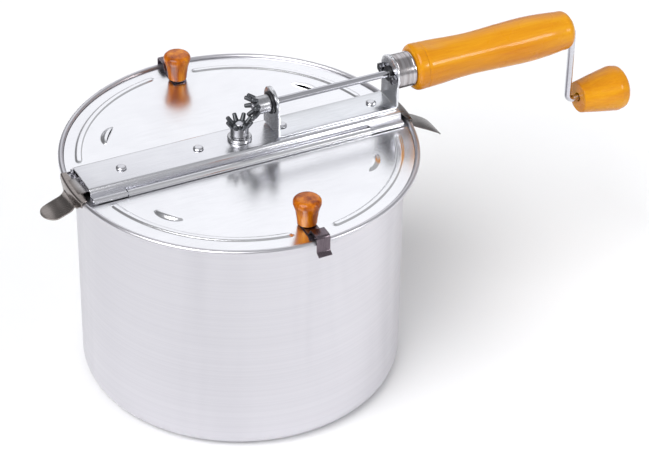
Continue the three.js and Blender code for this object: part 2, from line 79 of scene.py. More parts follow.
def rounded(corners, steps=6, loop=False):
    # a corner is (u, v) or (u, v, radius)
    points = []
    last = len(corners) - 1
    for i, corner in enumerate(corners):
        here = Vector(corner[:2])
        if len(corner) < 3 or (not loop and i in (0, last)):
            points.append(here)
            continue
        before = Vector(corners[i - 1][:2]) - here
        after = Vector(corners[(i + 1) % len(corners)][:2]) - here
        halfAngle = before.angle(after) / 2
        cut = min(corner[2] / math.tan(halfAngle), before.length * 0.98, after.length * 0.98)
        before.normalize()
        after.normalize()
        centre = here + (before + after).normalized() * cut / math.cos(halfAngle)
        spoke = here + before * cut - centre
        turn = math.copysign(math.pi - 2 * halfAngle, spoke.cross(here + after * cut - centre))
        for k in range(steps + 1):
            points.append(centre + Matrix.Rotation(turn * k / steps, 2) @ spoke)
    return points


def arc(centre, radius, start, end, steps):
    angles = [math.radians(start + (end - start) * k / steps) for k in range(steps + 1)]
    return [Vector((centre[0] + radius * math.cos(a), centre[1] + radius * math.sin(a))) for a in angles]


def offsetLine(line, distance):
    # the line moved sideways, mitred at its corners
    moved = []
    for i, point in enumerate(line):
        ahead = (line[min(i + 1, len(line) - 1)] - line[min(i, len(line) - 2)]).normalized()
        behind = (line[max(i, 1)] - line[max(i - 1, 0)]).normalized()
        middle = (ahead + behind).normalized()
        side = Vector((-middle.y, middle.x))
        moved.append(point + side * distance / max(middle.dot(ahead), 0.4))
    return moved


def spline(points, steps):
    # Catmull-Rom through the points
    path = []
    for i in range(len(points) - 1):
        p0, p1 = Vector(points[max(i - 1, 0)]), Vector(points[i])
        p2, p3 = Vector(points[i + 1]), Vector(points[min(i + 2, len(points) - 1)])
        for k in range(steps):
            t = k / steps
            square, cube = 2 * p0 - 5 * p1 + 4 * p2 - p3, 3 * p1 - 3 * p2 + p3 - p0
            path.append(0.5 * (2 * p1 + (p2 - p0) * t + square * t * t + cube * t ** 3))
    return path + [Vector(points[-1])]


def smoothStep(low, high, value):
    t = min(max((value - low) / (high - low), 0), 1)
    return t * t * (3 - 2 * t)


# Meshes

def smoothed(mesh, sharpAt=32):
    mesh.shade_smooth()
    mesh.set_sharp_from_angle(angle=math.radians(sharpAt))
    return mesh


def linked(name, data):
    item = bpy.data.objects.new(name, data)
    bpy.context.scene.collection.objects.link(item)
    return item


def onCircle(shape, radius, angle, height):
    return shape.verts.new(Vector((radius * math.cos(angle), radius * math.sin(angle), height)) * mm)


def loft(shape, rings):
    # skin through rings of vertices, closed at both ends
    for a, b in zip(rings, rings[1:]):
        for i in range(len(a)):
            j = (i + 1) % len(a)
            shape.faces.new((a[i], a[j], b[j], b[i]))
    shape.faces.new(rings[0])
    shape.faces.new(rings[-1])


def toMesh(name, shape, place=inPlace, sharpAt=32):
    bmesh.ops.transform(shape, matrix=place, verts=shape.verts)
    bmesh.ops.recalc_face_normals(shape, faces=shape.faces)
    mesh = bpy.data.meshes.new(name)
    shape.to_mesh(mesh)
    shape.free()
    return smoothed(mesh, sharpAt)


def turnedMesh(name, profile, place=inPlace, sides=96, loop=False, sharpAt=32, shaper=None):
    # profile is (radius, height) points; shaper may move a finished vertex
    shape = bmesh.new()
    rings = []
    for radius, height in profile:
        count = sides if radius > 1e-4 else 1
        spin = [math.tau * k / sides for k in range(count)]
        rings.append([onCircle(shape, radius, a, height) for a in spin])
    pairs = list(zip(rings, rings[1:])) + ([(rings[-1], rings[0])] if loop else [])
    for low, high in pairs:
        for i in range(sides):
            j = (i + 1) % sides
            if len(low) == 1 and len(high) == 1:
                break
            if len(low) == 1:
                shape.faces.new((low[0], high[i], high[j]))
            elif len(high) == 1:
                shape.faces.new((low[i], low[j], high[0]))
            else:
                shape.faces.new((low[i], low[j], high[j], high[i]))
    if shaper:
        for vert in shape.verts:
            vert.co = shaper(vert.co / mm) * mm
    return toMesh(name, shape, place, sharpAt)


def stripMesh(name, line, halfWidths, sheet, along, middle=0, place=inPlace, sharpAt=32):
    # bent sheet strip: the line is drawn in the XZ plane ("x") or the YZ plane ("y")
    shape = bmesh.new()
    widths = halfWidths if isinstance(halfWidths, list) else [halfWidths] * len(line)
    stations = []
    for upper, lower, half in zip(offsetLine(line, sheet / 2), offsetLine(line, -sheet / 2), widths):
        ring = []
        for point, side in ((upper, 1), (upper, -1), (lower, -1), (lower, 1)):
            across = middle + side * half
            spot = (point.x, across, point.y) if along == "x" else (across, point.x, point.y)
            ring.append(shape.verts.new(Vector(spot) * mm))
        stations.append(ring)
    loft(shape, stations)
    return toMesh(name, shape, place, sharpAt)


def pathMesh(name, points):
    mesh = bpy.data.meshes.new(name)
    edges = [(i, i + 1) for i in range(len(points) - 1)]
    mesh.from_pydata([Vector(point) * mm for point in points], edges, [])
    return mesh


def joined(name, meshes, sharpAt=32):
    shape = bmesh.new()
    for mesh in meshes:
        shape.from_mesh(mesh)
        bpy.data.meshes.remove(mesh)
    whole = bpy.data.meshes.new(name)
    shape.to_mesh(whole)
    shape.free()
    return smoothed(whole, sharpAt)


def moved(mesh, place):
    # a placed copy; a rotation keeps the faces pointing out
    copy = mesh.copy()
    copy.transform(place)
    return copy


def baked(mesh, setUp):
    # runs modifiers on a helper object and returns the plain result
    helper = linked("helper", mesh)
    setUp(helper)
    graph = bpy.context.evaluated_depsgraph_get()
    result = bpy.data.meshes.new_from_object(helper.evaluated_get(graph), depsgraph=graph)
    bpy.data.objects.remove(helper)
    return result


def bevelled(mesh, width, segments=2, limit=35):
    def setUp(helper):
        bevel = helper.modifiers.new("edges", "BEVEL")
        bevel.width = width * mm
        bevel.segments = segments
        bevel.limit_method = "ANGLE"
        bevel.angle_limit = math.radians(limit)
    return smoothed(baked(mesh, setUp), limit)


def holed(mesh, cutter):
    def setUp(helper):
        cut = helper.modifiers.new("hole", "BOOLEAN")
        cut.operation = "DIFFERENCE"
        cut.solver = "EXACT"
        cut.object = linked("cutter", cutter)
    result = baked(mesh, setUp)
    bpy.data.objects.remove(bpy.data.objects["cutter"])
    return result


def drillMesh(radius, start, end, place):
    profile = [(0, start), (radius, start), (radius, end), (0, end)]
    return turnedMesh("drill", profile, place, 48)


# Node trees

def connect(tree, node, inputs):
    # a value is a constant, a socket, or a node whose first output is meant
    for name, value in inputs.items():
        if isinstance(value, bpy.types.Node):
            value = value.outputs[0]
        if isinstance(value, bpy.types.NodeSocket):
            tree.links.new(value, node.inputs[name])
        else:
            node.inputs[name].default_value = value
    return node


def put(tree, kind, inputs={}, **settings):
    node = tree.nodes.new(kind)
    for name, value in settings.items():
        setattr(node, name, value)
    return connect(tree, node, inputs)


def newTree(name, kind, inputs, outputs):
    # inputs and outputs are {name: socket type, or a default number}
    tree = bpy.data.node_groups.new(name, kind)
    for way, sockets in (("INPUT", inputs), ("OUTPUT", outputs)):
        for label, value in sockets.items():
            named = isinstance(value, str)
            kindOf = value if named else type(value).__name__.title()
            socket = tree.interface.new_socket(name=label, in_out=way, socket_type="NodeSocket" + kindOf)
            if not named:
                socket.default_value = value
    return tree, tree.nodes.new("NodeGroupInput").outputs, tree.nodes.new("NodeGroupOutput")


def shapeTree(name, inputs):
    sockets = {"Geometry": "Geometry", **inputs, "Material": "Material"}
    return newTree(name, "GeometryNodeTree", sockets, {"Geometry": "Geometry"})


def closeTree(tree, given, end, geometry):
    real = put(tree, "GeometryNodeRealizeInstances", {"Geometry": geometry})
    painted = put(tree, "GeometryNodeSetMaterial", {"Geometry": real, "Material": given["Material"]})
    connect(tree, end, {"Geometry": painted})


def grown(mesh, tree, values, sharpAt=32):
    # runs a geometry tree on the mesh, its inputs set by identifier
    def setUp(helper):
        modifier = helper.modifiers.new("build", "NODES")
        modifier.node_group = tree
        for socket in tree.interface.items_tree:
            if socket.in_out == "INPUT" and socket.name in values:
                modifier[socket.identifier] = values[socket.name]
    return smoothed(baked(mesh, setUp), sharpAt)


def buildRodTree():
    # sweeps a round rod along the path, its corners bent to a radius
    tree, given, end = shapeTree("sweptRod", {"Radius": 0.002, "Bend": 0.0, "Bend Steps": 12, "Sides": 32})
    curve = put(tree, "GeometryNodeMeshToCurve", {"Mesh": given["Geometry"]})
    bent = put(tree, "GeometryNodeFilletCurve", {"Curve": curve, "Radius": given["Bend"],
            "Count": given["Bend Steps"]}, mode="POLY")
    ring = put(tree, "GeometryNodeCurvePrimitiveCircle", {"Resolution": given["Sides"],
            "Radius": given["Radius"]})
    rod = put(tree, "GeometryNodeCurveToMesh", {"Curve": bent, "Profile Curve": ring, "Fill Caps": True})
    closeTree(tree, given, end, rod)
    return tree


def buildRepeatTree():
    # sets one copy of an item at every point
    tree, given, end = shapeTree("repeatedItem", {"Item": "Object", "Turn": 0.0})
    item = put(tree, "GeometryNodeObjectInfo", {"Object": given["Item"]}, transform_space="ORIGINAL")
    spin = put(tree, "ShaderNodeCombineXYZ", {"Z": given["Turn"]})
    angle = put(tree, "FunctionNodeEulerToRotation", {"Euler": spin})
    copies = put(tree, "GeometryNodeInstanceOnPoints", {"Points": given["Geometry"],
            "Instance": item.outputs["Geometry"], "Rotation": angle})
    closeTree(tree, given, end, copies)
    return tree


def buildFingerTree():
    # adds a ring of splayed, round-tipped fingers to a gear's hub, about +Z
    tree, given, end = shapeTree("fingerRing", {
        "Teeth": 8, "Root": "Vector", "Length": 0.006,
        "Lean": 0.6, "Thickness": 0.001, "Taper": 1.25, "Turn": 0.0})
    foot = put(tree, "ShaderNodeMath", {0: given["Thickness"], 1: given["Taper"]}, operation="MULTIPLY")
    bar = put(tree, "GeometryNodeMeshCone", {"Vertices": 18, "Side Segments": 3,
            "Radius Top": given["Thickness"], "Radius Bottom": foot, "Depth": given["Length"]})
    tip = put(tree, "GeometryNodeMeshUVSphere", {"Segments": 18, "Rings": 10, "Radius": given["Thickness"]})
    lift = put(tree, "ShaderNodeCombineXYZ", {"Z": given["Length"]})
    tipUp = put(tree, "GeometryNodeTransform", {"Geometry": tip, "Translation": lift,
            "Scale": (1, 1, 0.55)})
    finger = put(tree, "GeometryNodeJoinGeometry")
    tree.links.new(bar.outputs["Mesh"], finger.inputs[0])
    tree.links.new(tipUp.outputs[0], finger.inputs[0])
    lean = put(tree, "ShaderNodeCombineXYZ", {"Y": given["Lean"]})
    leanAngle = put(tree, "FunctionNodeEulerToRotation", {"Euler": lean})
    splayed = put(tree, "GeometryNodeTransform", {"Geometry": finger, "Translation": given["Root"],
            "Rotation": leanAngle})
    seats = put(tree, "GeometryNodeMeshLine", {"Count": given["Teeth"], "Offset": (0, 0, 0)})
    index = put(tree, "GeometryNodeInputIndex")
    step = put(tree, "ShaderNodeMath", {0: math.tau, 1: given["Teeth"]}, operation="DIVIDE")
    spin = put(tree, "ShaderNodeMath", {0: index, 1: step, 2: given["Turn"]}, operation="MULTIPLY_ADD")
    spinAxis = put(tree, "ShaderNodeCombineXYZ", {"Z": spin})
    angle = put(tree, "FunctionNodeEulerToRotation", {"Euler": spinAxis})
    ring = put(tree, "GeometryNodeInstanceOnPoints", {"Points": seats, "Instance": splayed,
            "Rotation": angle})
    gear = put(tree, "GeometryNodeJoinGeometry")
    tree.links.new(given["Geometry"], gear.inputs[0])
    tree.links.new(ring.outputs[0], gear.inputs[0])
    closeTree(tree, given, end, gear)
    return tree


rodTree = buildRodTree()
repeatTree = buildRepeatTree()
fingerTree = buildFingerTree()


def rodMesh(points, radius, bend=0, sides=32, bendSteps=12):
    values = {"Radius": radius * mm, "Bend": bend * mm, "Sides": sides, "Bend Steps": bendSteps}
    return grown(pathMesh("path", points), rodTree, values)


def repeatedMesh(item, points, turn=0):
    helper = linked("item", item)
    result = grown(pathMesh("seats", points), repeatTree, {"Item": helper, "Turn": turn})
    bpy.data.objects.remove(helper)
    return result


# Surface effects shared by the materials

def buildGrainGroup():
    # fine streaks: noise on a position scaled differently each way
    tree, given, end = newTree("drawnGrain", "ShaderNodeTree", {"Position": "Vector", "Frequency": "Vector",
            "Roughness": 0.6}, {"Grain": "Float"})
    scaled = put(tree, "ShaderNodeVectorMath", {0: given["Position"], 1: given["Frequency"]},
            operation="MULTIPLY")
    noise = put(tree, "ShaderNodeTexNoise", {"Vector": scaled, "Scale": 1.0, "Detail": 3.0,
            "Roughness": given["Roughness"]})
    connect(tree, end, {"Grain": noise.outputs["Fac"]})
    return tree


def buildTurnedGroup():
    # lines that a lathe leaves: noise that changes with radius and height only
    tree, given, end = newTree("turnedLines", "ShaderNodeTree", {"Position": "Vector", "Lines": 900.0},
            {"Grain": "Float"})
    parts = put(tree, "ShaderNodeSeparateXYZ", {0: given["Position"]})
    flat = put(tree, "ShaderNodeCombineXYZ", {"X": parts.outputs["X"], "Y": parts.outputs["Y"]})
    radius = put(tree, "ShaderNodeVectorMath", {0: flat}, operation="LENGTH")
    place = put(tree, "ShaderNodeCombineXYZ", {"X": radius.outputs["Value"], "Y": parts.outputs["Z"]})
    noise = put(tree, "ShaderNodeTexNoise", {"Vector": place, "Scale": given["Lines"], "Detail": 4.0,
            "Roughness": 0.65}, noise_dimensions="2D")
    connect(tree, end, {"Grain": noise.outputs["Fac"]})
    return tree


def buildHandlingGroup():
    # soft patches where hands and cloths have been; stretched upright on the pot wall they are painted reflection
    # bands
    tree, given, end = newTree("handlingAndSheen", "ShaderNodeTree", {"Position": "Vector", "Size": 18.0,
            "From": 0.4, "To": 0.65}, {"Patch": "Float"})
    noise = put(tree, "ShaderNodeTexNoise", {"Vector": given["Position"], "Scale": given["Size"],
            "Detail": 3.0, "Roughness": 0.55, "Distortion": 0.4})
    mask = put(tree, "ShaderNodeMapRange", {"Value": noise.outputs["Fac"], "From Min": given["From"],
            "From Max": given["To"]}, interpolation_type="SMOOTHSTEP")
    connect(tree, end, {"Patch": mask})
    return tree


grainGroup = buildGrainGroup()
turnedGroup = buildTurnedGroup()
handlingAndSheenGroup = buildHandlingGroup()


def useGroup(tree, group, inputs):
    return put(tree, "ShaderNodeGroup", inputs, node_tree=group)


def startMaterial(name):
    material = bpy.data.materials.new(name)
    material.use_nodes = True
    tree = material.node_tree
    shader = next(node for node in tree.nodes if node.type == "BSDF_PRINCIPLED")
    position = put(tree, "ShaderNodeTexCoord").outputs["Object"]
    return material, tree, shader, position


def metal(name, look):
    # look: light and dark colour, roughness range, grain frequency per metre, bump depth
    material, tree, shader, position = startMaterial(name)
    shader.inputs["Metallic"].default_value = 1.0
    if "lines" in look:
        grain = useGroup(tree, turnedGroup, {"Position": position, "Lines": look["lines"]})
    else:
        grain = useGroup(tree, grainGroup, {"Position": position, "Frequency": look["grain"]})
    stretched = put(tree, "ShaderNodeVectorMath", {0: position, 1: look.get("patchStretch", (1, 1, 1))},
            operation="MULTIPLY")
    patch = useGroup(tree, handlingAndSheenGroup, {"Position": stretched, "Size": look.get("patchSize", 18.0)})
    tone = put(tree, "ShaderNodeMapRange", {"Value": grain, "From Min": 0.3, "From Max": 0.7})
    worn = put(tree, "ShaderNodeMath", {0: tone, 1: look.get("grainTone", 0.6)}, operation="MULTIPLY")
    # grain plus patches; on the pot wall the patches are painted reflection bands
    stainAndSheen = put(tree, "ShaderNodeMath", {0: patch, 1: look.get("patchTone", 0.4), 2: worn},
            operation="MULTIPLY_ADD", use_clamp=True)
    colour = put(tree, "ShaderNodeMix", {"Factor": stainAndSheen, "A": (*look["light"], 1),
            "B": (*look["dark"], 1)}, data_type="RGBA").outputs["Result"]
    if "highlightPaintedAbove" in look:
        # painted highlight: lighter above this height, on the top faces of the strip
        height = put(tree, "ShaderNodeSeparateXYZ", {0: position}).outputs["Z"]
        above = put(tree, "ShaderNodeMapRange",
                {"Value": height, "From Min": (look["highlightPaintedAbove"] - 0.5) * mm,
                "From Max": look["highlightPaintedAbove"] * mm})
        colour = put(tree, "ShaderNodeMix", {"Factor": above, "A": colour, "B": (0.76, 0.76, 0.79, 1)},
                data_type="RGBA").outputs["Result"]
    low, high = look["roughness"]
    rough = put(tree, "ShaderNodeMapRange", {"Value": stainAndSheen, "To Min": low, "To Max": high})
    bump = put(tree, "ShaderNodeBump", {"Strength": look.get("bump", 0.2), "Distance": 0.0002,
            "Height": grain})
    connect(tree, shader, {"Base Color": colour, "Roughness": rough, "Normal": bump})
    return material


def lacquered(name, look):
    # wood with a stain under clear gloss: long grain and growth bands
    material, tree, shader, position = startMaterial(name)
    grain = useGroup(tree, grainGroup, {"Position": position, "Frequency": look["grain"], "Roughness": 0.7})
    bands = useGroup(tree, grainGroup, {"Position": position, "Frequency": look["bands"], "Roughness": 0.4})
    both = put(tree, "ShaderNodeMath", {0: grain, 1: 0.45, 2: bands}, operation="MULTIPLY_ADD")
    ramp = put(tree, "ShaderNodeValToRGB", {"Fac": both})
    stops = ramp.color_ramp.elements
    stops[0].position, stops[1].position = 0.5, 0.98
    stops[0].color, stops[1].color = (*look["dark"], 1), (*look["light"], 1)
    stops.new(0.74).color = (*look["main"], 1)
    patch = useGroup(tree, handlingAndSheenGroup, {"Position": position, "Size": 40.0})
    low, high = look["roughness"]
    rough = put(tree, "ShaderNodeMapRange", {"Value": patch, "To Min": low, "To Max": high})
    connect(tree, shader, {"Coat Weight": look["coat"], "Coat Roughness": 0.08, "Specular IOR Level": 0.15})
    bump = put(tree, "ShaderNodeBump", {"Strength": 0.12, "Distance": 0.0003, "Height": grain})
    connect(tree, shader, {"Base Color": ramp, "Roughness": rough, "Normal": bump})
    return material


metals = {
    # patches stretched upright: soft vertical bands on the pot wall, a painted reflection
    "spunAluminium": {"light": (0.69, 0.68, 0.715), "dark": (0.55, 0.542, 0.58), "roughness": (0.28, 0.4),
                      "lines": 900.0, "bump": 0.06, "grainTone": 0.25, "patchTone": 0.6, "patchSize": 14.0,
                      "patchStretch": (1.0, 1.0, 0.12)},
    "lidAluminium": {"light": (0.91, 0.91, 0.935), "dark": (0.84, 0.84, 0.87), "roughness": (0.19, 0.28),
                     "grain": (60.0, 900.0, 900.0), "bump": 0.04, "grainTone": 0.4, "patchTone": 0.4},
    "bridgeSteel": {"light": (0.84, 0.84, 0.87), "dark": (0.77, 0.77, 0.81), "roughness": (0.2, 0.3),
                    "grain": (50.0, 1800.0, 1800.0), "bump": 0.05},
    "bracketSteel": {"light": (0.80, 0.81, 0.84), "dark": (0.70, 0.71, 0.74), "roughness": (0.18, 0.3),
                     "grain": (70.0, 1500.0, 1500.0), "bump": 0.05},
    "platedWire": {"light": (0.70, 0.70, 0.74), "dark": (0.54, 0.54, 0.58), "roughness": (0.12, 0.22),
                   "grain": (80.0, 1400.0, 1400.0), "bump": 0.06},
    "fastenerSteel": {"light": (0.76, 0.76, 0.79), "dark": (0.58, 0.58, 0.62), "roughness": (0.2, 0.34),
                      "grain": (900.0, 900.0, 900.0), "bump": 0.1},
    "castGrey": {"light": (0.16, 0.165, 0.175), "dark": (0.075, 0.08, 0.088), "roughness": (0.3, 0.5),
                 "grain": (1400.0, 1400.0, 1400.0), "bump": 0.35},
    "hubSteel": {"light": (0.66, 0.66, 0.68), "dark": (0.36, 0.36, 0.38), "roughness": (0.2, 0.34),
                 "grain": (1300.0, 200.0, 200.0), "bump": 0.2},
    # painted shade: a darker copy of hubSteel for the driven gear's hub
    "shadedHub": {"light": (0.42, 0.42, 0.44), "dark": (0.2, 0.2, 0.21), "roughness": (0.26, 0.4),
                "grain": (200.0, 200.0, 1300.0), "bump": 0.2},
    "chromeCup": {"light": (0.70, 0.68, 0.70), "dark": (0.30, 0.27, 0.27), "roughness": (0.12, 0.26),
                  "grain": (420.0, 20.0, 20.0), "bump": 0.05, "grainTone": 0.9},
    "boltSteel": {"light": (0.16, 0.16, 0.175), "dark": (0.06, 0.06, 0.068), "roughness": (0.18, 0.32),
                  "grain": (900.0, 900.0, 900.0), "bump": 0.1},
    "clipSteel": {"light": (0.21, 0.17, 0.195), "dark": (0.10, 0.08, 0.095), "roughness": (0.2, 0.32),
                  "grain": (900.0, 90.0, 90.0), "bump": 0.1},
    # the latch steels are painted lighter on their top faces above the given height, a painted highlight
    "springSteel": {"light": (0.35, 0.315, 0.30), "dark": (0.22, 0.195, 0.18), "roughness": (0.2, 0.34),
                    "grain": (110.0, 1500.0, 1500.0), "bump": 0.1, "highlightPaintedAbove": potHeight + 1.7},
    # painted shade: a darker copy of springSteel for the right latch
    "shadedSpringSteel": {"light": (0.20, 0.182, 0.178), "dark": (0.12, 0.108, 0.104), "roughness": (0.2, 0.34),
                    "grain": (110.0, 1500.0, 1500.0), "bump": 0.1, "highlightPaintedAbove": potHeight + 1.7},
}
material = {name: metal(name, look) for name, look in metals.items()}

woods = {
    "paleWood": {"dark": (0.55, 0.18, 0.003), "main": (0.65, 0.255, 0.004), "light": (0.74, 0.34, 0.008),
                 "grain": (40.0, 900.0, 900.0), "bands": (9.0, 90.0, 90.0), "roughness": (0.24, 0.34),
                 "coat": 0.28},
    "amberWood": {"dark": (0.20, 0.03, 0.001), "main": (0.50, 0.125, 0.002), "light": (0.76, 0.28, 0.01),
                  "grain": (900.0, 900.0, 60.0), "bands": (160.0, 160.0, 30.0), "roughness": (0.14, 0.22),
                  "coat": 0.4},
}
material.update({name: lacquered(name, look) for name, look in woods.items()})


def buildBlackBush():
    satin, tree, shader, position = startMaterial("blackBush")
    grain = useGroup(tree, grainGroup, {"Position": position, "Frequency": (900.0, 900.0, 900.0)})
    colour = put(tree, "ShaderNodeMix", {"Factor": grain, "A": (0.006, 0.006, 0.008, 1),
            "B": (0.022, 0.022, 0.026, 1)}, data_type="RGBA")
    rough = put(tree, "ShaderNodeMapRange", {"Value": grain, "To Min": 0.3, "To Max": 0.55})
    connect(tree, shader, {"Base Color": colour.outputs["Result"], "Roughness": rough})
    return satin


material["blackBush"] = buildBlackBush()
print("materials ready:", len(material))


def addPiece(name, mesh, finish, *nodes):
    # the piece rides the body of the first node it replaces, and those nodes are hidden
    piece = linked(name, mesh)
    mesh.materials.clear()
    mesh.materials.append(material[finish])
    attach(piece, bodyOf[nodes[0]])
    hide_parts(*nodes)


# The pot: a spun shell with a flared lip, a ledge for the lid and a rolled bead

potShell = {"radius": 110.6, "wall": 1.5, "corner": 12, "ledge": 166.9, "mouth": 117.4, "roll": 1.8}


def buildPot():
    radius, wall, ledge = potShell["radius"], potShell["wall"], potShell["ledge"]
    bead = (rimRadius - potShell["roll"], potHeight - potShell["roll"])
    outside = rounded([(0, 0), (radius, 0, potShell["corner"]), (radius, 158.5, 14),
            (radius + 2.6, 164.9, 3.5), (potShell["mouth"] - 0.8, 165.7)], 16)
    rolled = arc(bead, potShell["roll"], -118, 180, 26)
    inside = rounded([(potShell["mouth"], 168.2), (potShell["mouth"], ledge, 0.6),
            (radius + 0.9, ledge, 1.6), (radius - wall, ledge - 3.4, 3),
            (radius - wall, wall, potShell["corner"] - wall), (0, wall)], 12)
    mesh = turnedMesh("pot_shell", outside + rolled + inside[1:], sides=224, sharpAt=50)
    addPiece("pot_shell", mesh, "spunAluminium", "pot")


buildPot()
print("pot ready")


# The lid leaves: sheet with two raised ribs, two hooded vents and an edge rolled round the hinge rod

lidLeaf = {"radius": 117, "cutY": 22.4, "barrelX": 88.5, "rollRadius": 1.78}
lidRib = {"width": 5.4, "height": 0.9, "slope": 1.7, "arcs": ((-165, -97, 104.4), (-79, -17, 107.2))}
lidVent = {"radius": 89.6, "reach": 5.6, "halfLength": 10.6, "height": 2.1, "angles": (-35, -145)}


def lidHeight(radius, degrees):
    height = 0.0
    for start, end, ribRadius in lidRib["arcs"]:
        past = math.radians(max(start - degrees, degrees - end, 0)) * ribRadius
        away = math.hypot(radius - ribRadius, past)
        edge = lidRib["width"] / 2
        height = max(height, lidRib["height"] * smoothStep(edge, edge - lidRib["slope"], away))
    for angle in lidVent["angles"]:
        along = math.radians(degrees - angle) * lidVent["radius"] / lidVent["halfLength"]
        out = (radius - lidVent["radius"]) / lidVent["reach"]
        if out > 0 and abs(along) < 1:
            lens = math.sqrt(1 - along * along)
            height += lidVent["height"] * lens * smoothStep(lens, lens * 0.25, out)
    return height


def lidSheetMesh():
    slit = lidVent["radius"]
    radii = [0, 25, 50, 70, 82, slit - 0.02, slit + 0.02]
    radii += [slit + 0.3 * k for k in range(1, 21)] + [98, 100.4]
    radii += [100.8 + 0.45 * k for k in range(22)] + [111.5, 114, lidLeaf["radius"]]
    steps = 300
    shape = bmesh.new()
    rings = []
    for radius in radii[1:]:
        ring = []
        for k in range(steps + 1):
            degrees = -180 + 180 * k / steps
            ring.append(onCircle(shape, radius, math.radians(degrees), lidTop + lidHeight(radius, degrees)))
        rings.append(ring)
    hub = shape.verts.new(Vector((0, 0, lidTop)) * mm)
    for k in range(steps):
        shape.faces.new((hub, rings[0][k], rings[0][k + 1]))
    for low, high in zip(rings, rings[1:]):
        for k in range(steps):
            corners = (low[k], high[k], high[k + 1], low[k + 1])
            heights = [corner.co.z / mm for corner in corners]
            if (high[k].co - low[k].co).xy.length < 0.05 * mm and max(heights) - min(heights) > 0.35:
                continue  # the open slit of a vent
            shape.faces.new(corners)
    return shape


def buildLidLeaf():
    shape = lidSheetMesh()
    barrelX = lidLeaf["barrelX"]
    for x in (-barrelX, barrelX):
        bmesh.ops.bisect_plane(shape, geom=shape.verts[:] + shape.edges[:] + shape.faces[:],
                plane_co=(x * mm, 0, 0), plane_no=(1, 0, 0))
    bmesh.ops.bisect_plane(shape, geom=shape.verts[:] + shape.edges[:] + shape.faces[:],
            plane_co=(0, -lidLeaf["cutY"] * mm, 0), plane_no=(0, 1, 0), clear_outer=True)

    def onCut(vert):
        return abs(vert.co.y / mm + lidLeaf["cutY"]) < 0.01 and abs(vert.co.x / mm) < barrelX + 0.01

    edges = [edge for edge in shape.edges if edge.is_boundary and all(onCut(vert) for vert in edge.verts)]
    line = [Vector((-21.6, lidTop - 0.02)), Vector((-20.7, lidTop - 0.2)), Vector((-19.9, lidTop - 0.55))]
    line += arc((-hingeY, hingeZ), lidLeaf["rollRadius"], -95, 192, 26)
    at = Vector((-lidLeaf["cutY"], lidTop))
    for point in line:
        rolled = bmesh.ops.extrude_edge_only(shape, edges=edges)["geom"]
        verts = [item for item in rolled if isinstance(item, bmesh.types.BMVert)]
        edges = [item for item in rolled if isinstance(item, bmesh.types.BMEdge)]
        bmesh.ops.translate(shape, verts=verts, vec=Vector((0, point.x - at.x, point.y - at.y)) * mm)
        at = point
    bmesh.ops.remove_doubles(shape, verts=shape.verts, dist=0.004 * mm)
    bmesh.ops.recalc_face_normals(shape, faces=shape.faces)
    topFace = max(shape.faces, key=lambda face: face.calc_area())
    if topFace.normal.z < 0:
        bmesh.ops.reverse_faces(shape, faces=shape.faces)
    mesh = bpy.data.meshes.new("lid_sheet")
    shape.to_mesh(mesh)
    shape.free()

    def setUp(helper):
        solid = helper.modifiers.new("sheet", "SOLIDIFY")
        solid.thickness = lidSheet * mm
        solid.offset = -1
        solid.use_even_offset = True

    return smoothed(baked(mesh, setUp), 38)


frontLeaf = buildLidLeaf()
addPiece("rear_lid_leaf", moved(frontLeaf, halfTurn), "lidAluminium", "rear_lid")
addPiece("front_lid_leaf", frontLeaf, "lidAluminium", "front_lid")
print("lid leaves ready")


# Lid knobs and the spring clips under them

lidKnob = {"x": 3, "y": -98, "node": "front_lid_knob"}
lidClip = {"sheet": 0.8, "halfWidth": 4.75}


def buildLidKnob():
    low, high = (corner.z for corner in boxOf(lidKnob["node"]))
    side = rounded([(0, low), (6.5, low, 0.7), (6.9, low + 4, 20), (7.7, low + 9.5, 20),
            (9.4, low + 15.1, 1.6), (9.3, low + 17.4, 2.2), (7.4, high - 0.4, 3), (0, high)], 10)
    seat = Matrix.Translation(Vector((lidKnob["x"], lidKnob["y"], 0)) * mm)
    return turnedMesh("lid_knob", side, seat, 72, sharpAt=60)


def buildLidClip():
    flat = lidTop + 0.9
    line = rounded([(-93, flat), (-109.6, flat, 2.4), (-112.9, 174.1, 1.4), (-122.1, 174.1, 1.9),
            (-122.1, 162.6, 1.6), (-125.6, 161)], 7)
    return bevelled(stripMesh("lid_clip", line, lidClip["halfWidth"], lidClip["sheet"], "y", lidKnob["x"]),
            0.12)


knobMesh, clipMesh = buildLidKnob(), buildLidClip()
for side, place in (("rear", halfTurn), ("front", inPlace)):
    addPiece(side + "_knob", moved(knobMesh, place), "amberWood", side + "_lid_knob")
    addPiece(side + "_clip", moved(clipMesh, place), "clipSteel", side + "_lid_clip")
print("lid knobs and clips ready")


# The bridge: an inverted channel with a curled eye for a hinge rod at each corner

bridgeSheet = {"halfWidth": 16, "sheet": 1.4, "corner": 3}
hingeEye = {"from": 89.2, "to": 112.5, "sheet": 0.9, "radius": 2.15}


def buildBridge():
    half = bridgeSheet["sheet"] / 2
    side, roof, corner = bridgeSheet["halfWidth"] - half, bridgeTop - half, bridgeSheet["corner"] - half
    line = rounded([(-side, lidBottom), (-side, roof, corner), (side, roof, corner), (side, lidBottom)], 8)
    channel = bevelled(stripMesh("bridge", line, bridgeHalf, bridgeSheet["sheet"], "y"), 0.25)
    curl = [Vector((-side, hingeZ + hingeEye["radius"]))] + arc((-hingeY, hingeZ), hingeEye["radius"], 90,
            215, 12)
    middle = (hingeEye["from"] + hingeEye["to"]) / 2
    reach = (hingeEye["to"] - hingeEye["from"]) / 2
    eyes = [stripMesh("eye", curl, reach, hingeEye["sheet"], "y", end * middle, turn) for turn in (inPlace,
            halfTurn) for end in (-1, 1)]
    return joined("bridge_channel", [channel, *eyes])


addPiece("bridge_channel", buildBridge(), "bridgeSteel", "bridge")


# The gear bracket: a long U whose two ends stand up as rounded eyes

bracket = {"halfWidth": 11.5, "sheet": 1.4, "frontEye": 11, "rearEye": 13, "bend": 1.7}


